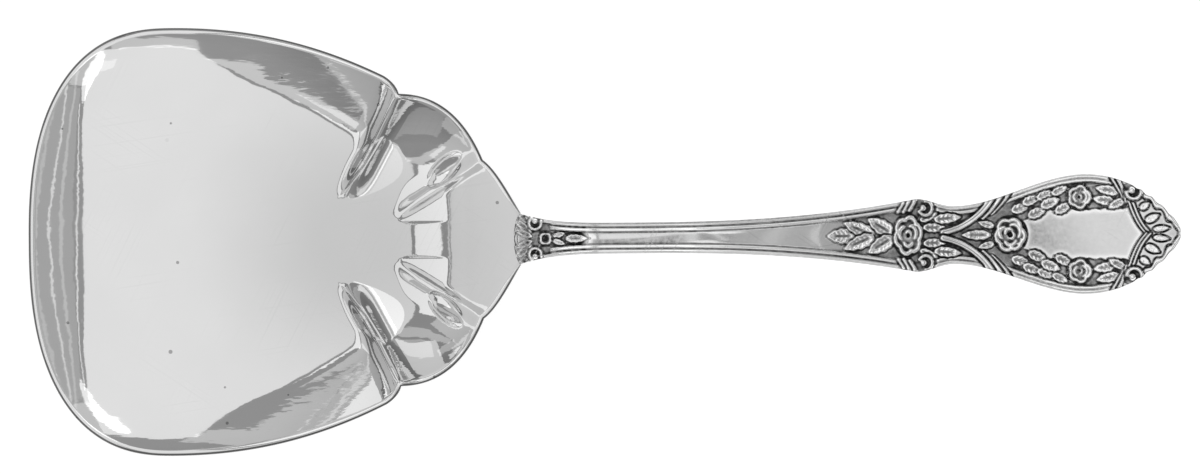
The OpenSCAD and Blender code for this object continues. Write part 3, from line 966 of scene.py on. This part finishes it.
# petals of the roses: direction in degrees, offset, radius, half spread in degrees and width
rosePetals = {
    "waist": (
        (15, 0.46, 0.44, 82, 0.12), (75, 0.48, 0.42, 80, 0.12), (135, 0.46, 0.44, 82, 0.12),
        (195, 0.46, 0.42, 80, 0.12), (255, 0.48, 0.42, 82, 0.12), (315, 0.46, 0.44, 80, 0.12),
        (160, 0.26, 0.34, 86, 0.12), (30, 0.2, 0.36, 84, 0.12), (270, 0.22, 0.3, 78, 0.11),
        (75, 0.05, 0.16, 105, 0.1),
    ),
    "terminal": (
        (-8, 0.42, 0.46, 84, 0.12), (62, 0.44, 0.44, 78, 0.12), (128, 0.44, 0.44, 80, 0.12),
        (190, 0.42, 0.44, 78, 0.12), (246, 0.44, 0.44, 78, 0.12), (306, 0.44, 0.42, 78, 0.12),
        (35, 0.24, 0.42, 88, 0.12), (165, 0.3, 0.34, 84, 0.12), (275, 0.22, 0.36, 80, 0.12),
        (120, 0.1, 0.24, 90, 0.11), (330, 0.06, 0.18, 105, 0.1),
    ),
    "garland": (
        (0, 0.32, 0.54, 88, 0.13), (80, 0.44, 0.42, 75, 0.13), (145, 0.42, 0.44, 78, 0.13),
        (210, 0.42, 0.44, 78, 0.13), (275, 0.44, 0.42, 75, 0.13),
        (0, 0.14, 0.42, 85, 0.13), (180, 0.1, 0.36, 85, 0.12), (20, 0.0, 0.14, 80, 0.1),
    ),
    "blossom": (
        (40, 0.34, 0.44, 80, 0.2), (140, 0.34, 0.44, 85, 0.2),
        (220, 0.34, 0.44, 85, 0.2), (-40, 0.34, 0.44, 80, 0.2),
    ),
}


def bracketX(y):
    place, slant, curve = cartouche["bracket"]
    return place - slant * y + curve * y ** 2


def panelField():
    # plain cartouche between the garlands, closed by the bracket near the tip
    c = cartouche
    x, y = gridX, np.abs(gridY)
    start, end, flare = c["flare"]
    depth, turn = c["wave"]
    side = mix(*c["half"], fade(x, c["widen"]))
    side = side + flare * along(x, start, end) + depth * np.sin(x * turn)
    inside = (x > c["startX"]) & (y < side) & (x < bracketX(y))
    heightMap[...] = np.where(inside, c["level"] - c["dish"] * y ** 2, heightMap)


def shellField():
    # fluted shell beyond the bracket, with a raised wavy edge
    s = shellTip
    x, y = gridX, np.abs(gridY)
    inside = (x > bracketX(y)) & (y < s["half"]) & (x > s["startX"])
    spread = np.arctan2(y, x - s["centreX"])
    t = edgeDistance + s["wave"] * np.cos(spread * s["ribs"])
    rim = s["edge"] * (bead(t - s["edge"], s["edge"]) - 1)
    shell = np.select([t < s["edgeEnd"], t < s["grooveEnd"]], [rim, s["groove"]], s["ground"])
    heightMap[...] = np.where(inside, shell, heightMap)


def pressOrnament():
    o = ornament
    panelField()
    shellField()
    for base, tip, width in o["centreLeaves"]:
        pressLeaf(base, tip, width)
    for side in (1, -1):
        mirror = np.array([1, side])
        for base, tip, width in o["pairedLeaves"] + o["neckLeaves"]:
            pressLeaf(base * mirror, tip * mirror, width)
        pressScroll(o["neckScroll"], side)
        for strap in o["straps"]:
            pressStrand(strap * mirror, o["strapHalf"])
        pressScroll(o["waistScroll"], side)
        for *band, half in o["ribbon"]:
            pressStrand(band * mirror, half, o["ribbonTop"], o["ribbonGroove"])
        for strap in o["tipStraps"]:
            pressStrand(strap * mirror, o["tipStrapHalf"])
        for shift in o["bracketShifts"]:
            pressStrand(o["bracketLine"] * mirror + [shift, 0], o["bracketHalf"], o["bracketTop"])
        pressScroll(o["tipScroll"], side)
        for base, tip, width in o["pods"]:
            pressLeaf(base * mirror, tip * mirror, width, o["podTop"], 0, o["podVein"])
        pressRose(o["garlandRose"], rosePetals["garland"], side, o["garlandTop"])
    pressLeaf(*o["stemLeaf"])
    pressRose(o["neckBlossom"], rosePetals["blossom"], 1, o["blossomTop"])
    pressRose(o["waistRose"], rosePetals["waist"])
    pressRose(o["terminalRose"], rosePetals["terminal"])


pressOrnament()
heightMap = blur(heightMap, relief["soften"])

# tarnish and painted shade: no tarnish on raised edges, a little on plain faces, grey on the sunk ground,
# black in narrow recesses, darker along the outer edge, dots of painted shadow at the neck, and the painted
# shade and light below added on
tarnishAndShadow = {
    "spread": 0.3,  # hollows are judged over this distance
    "plain": 0.26,
    "raised": -0.045,
    "recess": (0.01, 0.15),
    "sunk": 0.62,
    "sunkDepth": (-0.24, -0.38),
    "sunkEdge": (0.3, 0.5),
    "sunkStart": (-11.7, -10.2),
    "leafEnd": (-9.6, -11.6, 0.6),  # it fades between these places, and the share that is left
    "edge": 0.55,
    "edgeReach": (0.05, 0.2),
    "edgeStart": -9.0,
    "shadowDot": (0.2, 0.28),
}
# painted shade along the stem's lower half and upper edge, painted light further along the stem, and darker
# places on the cartouche and the shell
shadeAndDarkening = {
    "panelEdge": (1.3, 1.45),
    "stemSpan": ((-2.2, -1.2), (27.0, 31.0)),
    "split": (-0.12, 0.5, 9.0),  # the lower half's border across the stem, its rise and over what length
    "splitSoft": 0.15,
    "low": 0.3,
    "lowEnd": (8.5, 13.0),
    "bright": 0.1,
    "brightStart": (9.0, 15.0),
    "edge": 0.2,
    "edgeReach": (0.5, 0.4),
    "edgeSpan": ((-7.0, -5.0), (24.0, 34.0)),
    "plate": 0.2,
    "plateLevel": (-0.13, -0.03),
    "plateEnd": (71.5, 3.6),  # along and across
    "plateFade": (55.5, 66.0),
    "plateSlant": 0.5,
    "shell": 0.18,
    "shellX": 69.5,
    "shellDepth": (-0.12, -0.17),
    "shellEdge": (0.7, 0.9),
    "shellStart": (0.2, 0.5),  # distance beyond the bracket
}


def shadingAndDarkening():
    d = shadeAndDarkening
    x, y = gridX, gridY
    # painted shade on the stem's lower half, and painted light further along it
    start, rise, length = d["split"]
    split = start + rise * along(x, 0, length) ** 2
    low = ease(along(split - y, -d["splitSoft"], d["splitSoft"])) * (1 - fade(x, d["lowEnd"]))
    stem = d["low"] * low - d["bright"] * fade(x, d["brightStart"])
    stem = stem * along(halfWidth(x) - np.abs(y), *d["panelEdge"]) * span(x, *d["stemSpan"])
    # painted shade along the upper edge only
    edge = along(edgeDistance, *d["edgeReach"]) * (y > 0) * span(x, *d["edgeSpan"])
    least, most = d["plateLevel"]
    endX, endY = d["plateEnd"]
    plate = (heightMap > least) & (heightMap < most) & (np.abs(y) < endY)
    plate = plate & (x > cartouche["startX"]) & (x < endX)
    plate = plate * (1 - fade(x + d["plateSlant"] * y, d["plateFade"]))
    place, slant = cartouche["bracket"][:2]
    shell = along(heightMap, *d["shellDepth"]) * along(edgeDistance, *d["shellEdge"]) * (x > d["shellX"])
    shell = shell * along(x - place + slant * np.abs(y), *d["shellStart"])
    return stem + d["edge"] * edge + d["plate"] * plate + d["shell"] * shell


def tarnishAndShadeMap():
    s = tarnishAndShadow
    bend = blur(heightMap, s["spread"]) - heightMap
    raised = s["plain"] * (1 - along(bend, 0, s["raised"]))
    recess = np.where(bend < 0, raised, mix(s["plain"], 1.0, along(bend, *s["recess"])))
    sunk = along(heightMap, *s["sunkDepth"]) * along(edgeDistance, *s["sunkEdge"])
    sunk = s["sunk"] * sunk * fade(gridX, s["sunkStart"])
    stainAndShade = np.maximum(recess, sunk) * settle(gridX, *s["leafEnd"])
    edge = s["edge"] * (1 - along(edgeDistance, *s["edgeReach"])) * (gridX > s["edgeStart"])
    stainAndShade = np.maximum(stainAndShade, edge)
    # dark dots of painted shadow between the leaf tips at the neck
    length, width = s["shadowDot"]
    for dotX, dotY in ornament["neckShadowDots"]:
        off = ((gridX - dotX) / length) ** 2 + ((np.abs(gridY) - dotY) / width) ** 2
        stainAndShade = np.maximum(stainAndShade, np.exp(-off ** 2))
    return stainAndShade + shadingAndDarkening()


tarnishAndShade = tarnishAndShadeMap()
print("relief pressed:", heightMap.shape)


def sample(field, x, y):
    i = np.clip((x - mapX[0]) / relief["step"], 0, len(mapX) - 1.001)
    j = np.clip((y - mapY[0]) / relief["step"], 0, len(mapY) - 1.001)
    i0, j0 = i.astype(int), j.astype(int)
    u, v = i - i0, j - j0
    low = mix(field[i0, j0], field[i0 + 1, j0], u)
    high = mix(field[i0, j0 + 1], field[i0 + 1, j0 + 1], u)
    return mix(low, high, v)


def makeHandle():
    h = handle
    n = h["stations"]
    stemStart, stemEnd = h["stemSpan"]
    stations = np.concatenate([
        np.linspace(h["leafX"], rebateX, n["leaf"]),
        np.linspace(rebateX + h["rebateStep"], stemStart, n["neck"]),
        np.linspace(stemStart, stemEnd, n["stem"])[1:],
        np.linspace(stemEnd, h["tipX"], n["ornament"])[1:],
    ])
    c = np.linspace(1, -1, h["columns"])
    drawn = h["fanRound"] * along(stations, bowl["neckX"], h["leafX"])[:, None]
    x = stations[:, None] + drawn * c[None, :] ** 2
    y = halfWidth(x) * c[None, :]
    top = np.stack([x, y, topHeight(x) + sample(heightMap, x, y)], 2)
    stainAndShade = sample(tarnishAndShade, x, y)
    c = np.linspace(-1, 1, h["backColumns"])
    c = np.sign(c) * np.abs(c) ** h["backSpacing"]
    x = stations[:, None] + drawn * c[None, :] ** 2
    thick = topHeight(x) - underHeight(x)
    curl = np.where(x <= rebateX, 0.0, h["backCurl"] * thick) * np.abs(c) ** 4
    back = np.stack([x, halfWidth(x) * c, underHeight(x) + curl], 2)
    loop = np.concatenate([top, back, top[:, :1]], 1)
    stainAndShade = np.concatenate([stainAndShade, 0 * curl, stainAndShade[:, :1]], 1)
    ends = []
    for row in (0, -1):
        centre = loop[row].mean(0)
        centre[0] = stations[row]
        ends.append(np.broadcast_to(centre, loop[:1].shape))
    places = np.concatenate([ends[0], loop, ends[1]])
    stainAndShade = np.concatenate([stainAndShade[:1], stainAndShade, stainAndShade[-1:]])
    return bentGrid("spoonHandle", places, patina=stainAndShade)


spoonHandle = makeHandle()
print("handle:", len(spoonHandle.data.polygons), "faces")


# Finishes: all three pieces share one group of marks

marks = {
    # angle in degrees, length and width
    "scratches": ((8, 38, 0.30), (-34, 26, 0.24), (63, 22, 0.27)),
    "scratchDepth": 30.0,
    "scratchLines": (0.64, 0.70),  # parts of the noise that show
    "scratchPatches": (0.42, 0.62),
    "clouds": 18.0,
    "waves": 4.5,
    "ripples": (5.0, 0.9),  # length along the spoon and width
    "pits": 7.0,
    "pitShare": (0.74, 0.76),
    "pitSize": (0.016, 0.04),  # shares of their spacing
    "grain": 0.5,
}


def noiseAt(tree, vector, size, detail=2.0):
    sockets = (("Vector", vector), ("Scale", 1 / (size * mm)), ("Detail", detail))
    return joined(tree, "ShaderNodeTexNoise", sockets).outputs[0]


def drawnNoise(tree, place, size, detail, angle=0.0):
    # noise drawn out to a size along each axis
    scale = tuple(s * mm for s in size)
    sockets = (("Vector", place), ("Rotation", (0, 0, math.radians(angle))), ("Scale", scale))
    drawn = joined(tree, "ShaderNodeMapping", sockets, vector_type="TEXTURE").outputs[0]
    sockets = (("Vector", drawn), ("Scale", 1.0), ("Detail", detail))
    return joined(tree, "ShaderNodeTexNoise", sockets).outputs[0]


def makeMarks(settings):
    s = settings
    group = bpy.data.node_groups.new("silverMarks", "ShaderNodeTree")
    place = group.nodes.new("ShaderNodeTexCoord").outputs["Object"]
    total = None
    for angle, length, width in s["scratches"]:
        line = drawnNoise(group, place, (length, width, s["scratchDepth"]), 1.0, angle)
        thin = ranged(group, line, *s["scratchLines"])
        total = thin if total is None else math2(group, "MAXIMUM", total, thin)
    patches = ranged(group, noiseAt(group, place, s["clouds"] / 2), *s["scratchPatches"])
    sockets = (("Vector", place), ("Scale", 1 / (s["pits"] * mm)))
    cells = joined(group, "ShaderNodeTexVoronoi", sockets, voronoi_dimensions="2D")
    split = joined(group, "ShaderNodeSeparateColor", ((0, cells.outputs["Color"]),))
    chosen = ranged(group, split.outputs[0], *s["pitShare"])
    size = ranged(group, split.outputs[1], 0.0, 1.0, *s["pitSize"])
    near = math2(group, "LESS_THAN", cells.outputs["Distance"], size)
    length, width = s["ripples"]
    results = {
        "Scratches": math2(group, "MULTIPLY", total, patches),
        "Clouds": noiseAt(group, place, s["clouds"], 3.0),
        "Pits": math2(group, "MULTIPLY", chosen, near),
        "Waves": noiseAt(group, place, s["waves"], 1.0),
        "Ripples": drawnNoise(group, place, (length, width, width), 2.0),
        "Grain": noiseAt(group, place, s["grain"], 2.0),
    }
    out = group.nodes.new("NodeGroupOutput")
    for name, source in results.items():
        group.interface.new_socket(name, in_out="OUTPUT", socket_type="NodeSocketFloat")
        group.links.new(source, out.inputs[name])
    return group


silverMarks = makeMarks(marks)


def newMaterial(name):
    material = bpy.data.materials.new(name)
    material.use_nodes = True
    tree = material.node_tree
    shader = tree.nodes["Principled BSDF"]
    shader.inputs["Metallic"].default_value = 1.0
    group = tree.nodes.new("ShaderNodeGroup")
    group.node_tree = silverMarks
    return material, tree, shader, group.outputs


bowlFinish = {
    "tone": 0.85,
    "cloudDepth": 0.05,
    "cloudRange": (0.3, 0.7),
    "scratchDepth": 0.025,
    "pitDepth": 0.5,
    "edgeDepth": 0.85,  # how dark the painted shade on the rim's edge is
    "heelShade": (-33.0, 4.0, 25.0, 0.22),  # a painted shade round the heel, standing in for a darker reflection there: place along X, inner and outer radius, depth
    "roughness": (0.04, 0.09),
    "dullRange": (0.4, 0.8),
    "waveHeight": 0.035,
    "rippleShare": 0.4,  # height of the ripples beside that of the waves
}
handleFinish = {
    # tarnish with painted shade, and the tone of the silver there
    "tones": ((0.0, 1.0), (0.26, 0.74), (0.62, 0.31), (1.0, 0.03)),
    "uneven": 0.16,
    "unevenRange": (0.3, 0.6, 0.12, 1.0),  # less where there is little tarnish
    "grainRange": (0.25, 0.75),
    "scratchTone": 0.62,
    "roughness": (0.10, 0.36),
    "roughRange": (0.2, 0.8),
}
solderFinish = {
    "tones": (0.62, 0.86),
    "toneRange": (0.3, 0.7),
    "roughness": (0.22, 0.42),
    "roughRange": (0.3, 0.9),
    "mottle": 0.8,
}


def greyOf(tree, value):
    return joined(tree, "ShaderNodeCombineColor", ((0, value), (1, value), (2, value))).outputs[0]


def bowlSilver(finish):
    f = finish
    material, tree, shader, mark = newMaterial("bowlSilver")
    place = tree.nodes.new("ShaderNodeTexCoord").outputs["Object"]
    # painted shade: the tone darkens round the heel, where the reflection is darker
    x, inner, outer, depth = f["heelShade"]
    heel = (x * mm, 0, bowl["sheet"] * mm)
    offset = joined(tree, "ShaderNodeVectorMath", ((0, place), (1, heel)), operation="DISTANCE")
    shade = ranged(tree, offset.outputs["Value"], inner * mm, outer * mm, 1 - depth, 1.0)
    shade.node.interpolation_type = "SMOOTHSTEP"
    tone = ranged(tree, mark["Clouds"], *f["cloudRange"], f["tone"] * (1 - f["cloudDepth"]), f["tone"])
    tone = math2(tree, "MULTIPLY", tone, shade)
    edge = joined(tree, "ShaderNodeAttribute", attribute_name="edgeShade").outputs["Fac"]
    dark = ((mark["Scratches"], "scratchDepth"), (mark["Pits"], "pitDepth"), (edge, "edgeDepth"))
    for mask, depth in dark:
        tone = math2(tree, "MULTIPLY", tone, ranged(tree, mask, 0, 1, 1, 1 - f[depth]))
    tree.links.new(greyOf(tree, tone), shader.inputs["Base Color"])
    dull = math2(tree, "MAXIMUM", mark["Scratches"], ranged(tree, mark["Clouds"], *f["dullRange"]))
    tree.links.new(ranged(tree, dull, 0, 1, *f["roughness"]), shader.inputs["Roughness"])
    sockets = ((0, mark["Ripples"]), (1, f["rippleShare"]), (2, mark["Waves"]))
    waves = joined(tree, "ShaderNodeMath", sockets, operation="MULTIPLY_ADD").outputs[0]
    bump = joined(tree, "ShaderNodeBump", (("Height", waves), ("Distance", f["waveHeight"] * mm)))
    tree.links.new(bump.outputs[0], shader.inputs["Normal"])
    return material


def handleSilver(finish):
    f = finish
    material, tree, shader, mark = newMaterial("handleSilver")
    stainAndShade = joined(tree, "ShaderNodeAttribute", attribute_name="patina").outputs["Fac"]
    uneven = ranged(tree, mark["Grain"], *f["grainRange"], -f["uneven"], f["uneven"])
    uneven = math2(tree, "MULTIPLY", uneven, ranged(tree, stainAndShade, *f["unevenRange"]))
    depth = math2(tree, "ADD", stainAndShade, uneven)
    ramp = joined(tree, "ShaderNodeValToRGB", (("Fac", depth),))
    while len(ramp.color_ramp.elements) < len(f["tones"]):
        ramp.color_ramp.elements.new(0.5)
    for element, (spot, level) in zip(ramp.color_ramp.elements, f["tones"]):
        element.position = spot
        element.color = (level, level, level, 1)
    scratched = (f["scratchTone"], f["scratchTone"], f["scratchTone"], 1)
    sockets = ((0, mark["Scratches"]), (6, ramp.outputs["Color"]), (7, scratched))
    worn = joined(tree, "ShaderNodeMix", sockets, data_type="RGBA").outputs[2]
    tree.links.new(worn, shader.inputs["Base Color"])
    tree.links.new(ranged(tree, depth, *f["roughRange"], *f["roughness"]), shader.inputs["Roughness"])
    return material


def solderSilver(finish):
    f = finish
    material, tree, shader, mark = newMaterial("solderSilver")
    place = tree.nodes.new("ShaderNodeTexCoord").outputs["Object"]
    mottle = noiseAt(tree, place, f["mottle"], 3.0)
    tone = ranged(tree, mottle, *f["toneRange"], *f["tones"])
    tree.links.new(greyOf(tree, tone), shader.inputs["Base Color"])
    dull = math2(tree, "MAXIMUM", mottle, mark["Scratches"])
    tree.links.new(ranged(tree, dull, *f["roughRange"], *f["roughness"]), shader.inputs["Roughness"])
    return material


spoonBowl.data.materials.append(bowlSilver(bowlFinish))
spoonHandle.data.materials.append(handleSilver(handleFinish))
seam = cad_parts["solder_seam"]
seam.data.materials.clear()
seam.data.materials.append(solderSilver(solderFinish))
print("finishes laid on")

for piece, node, slotName in ((spoonBowl, "bowl", "bowl_silver"), (spoonHandle, "handle", "handle_silver")):
    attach(piece, "root")
    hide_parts(node)

bpy.context.scene.view_settings.view_transform = "Standard"
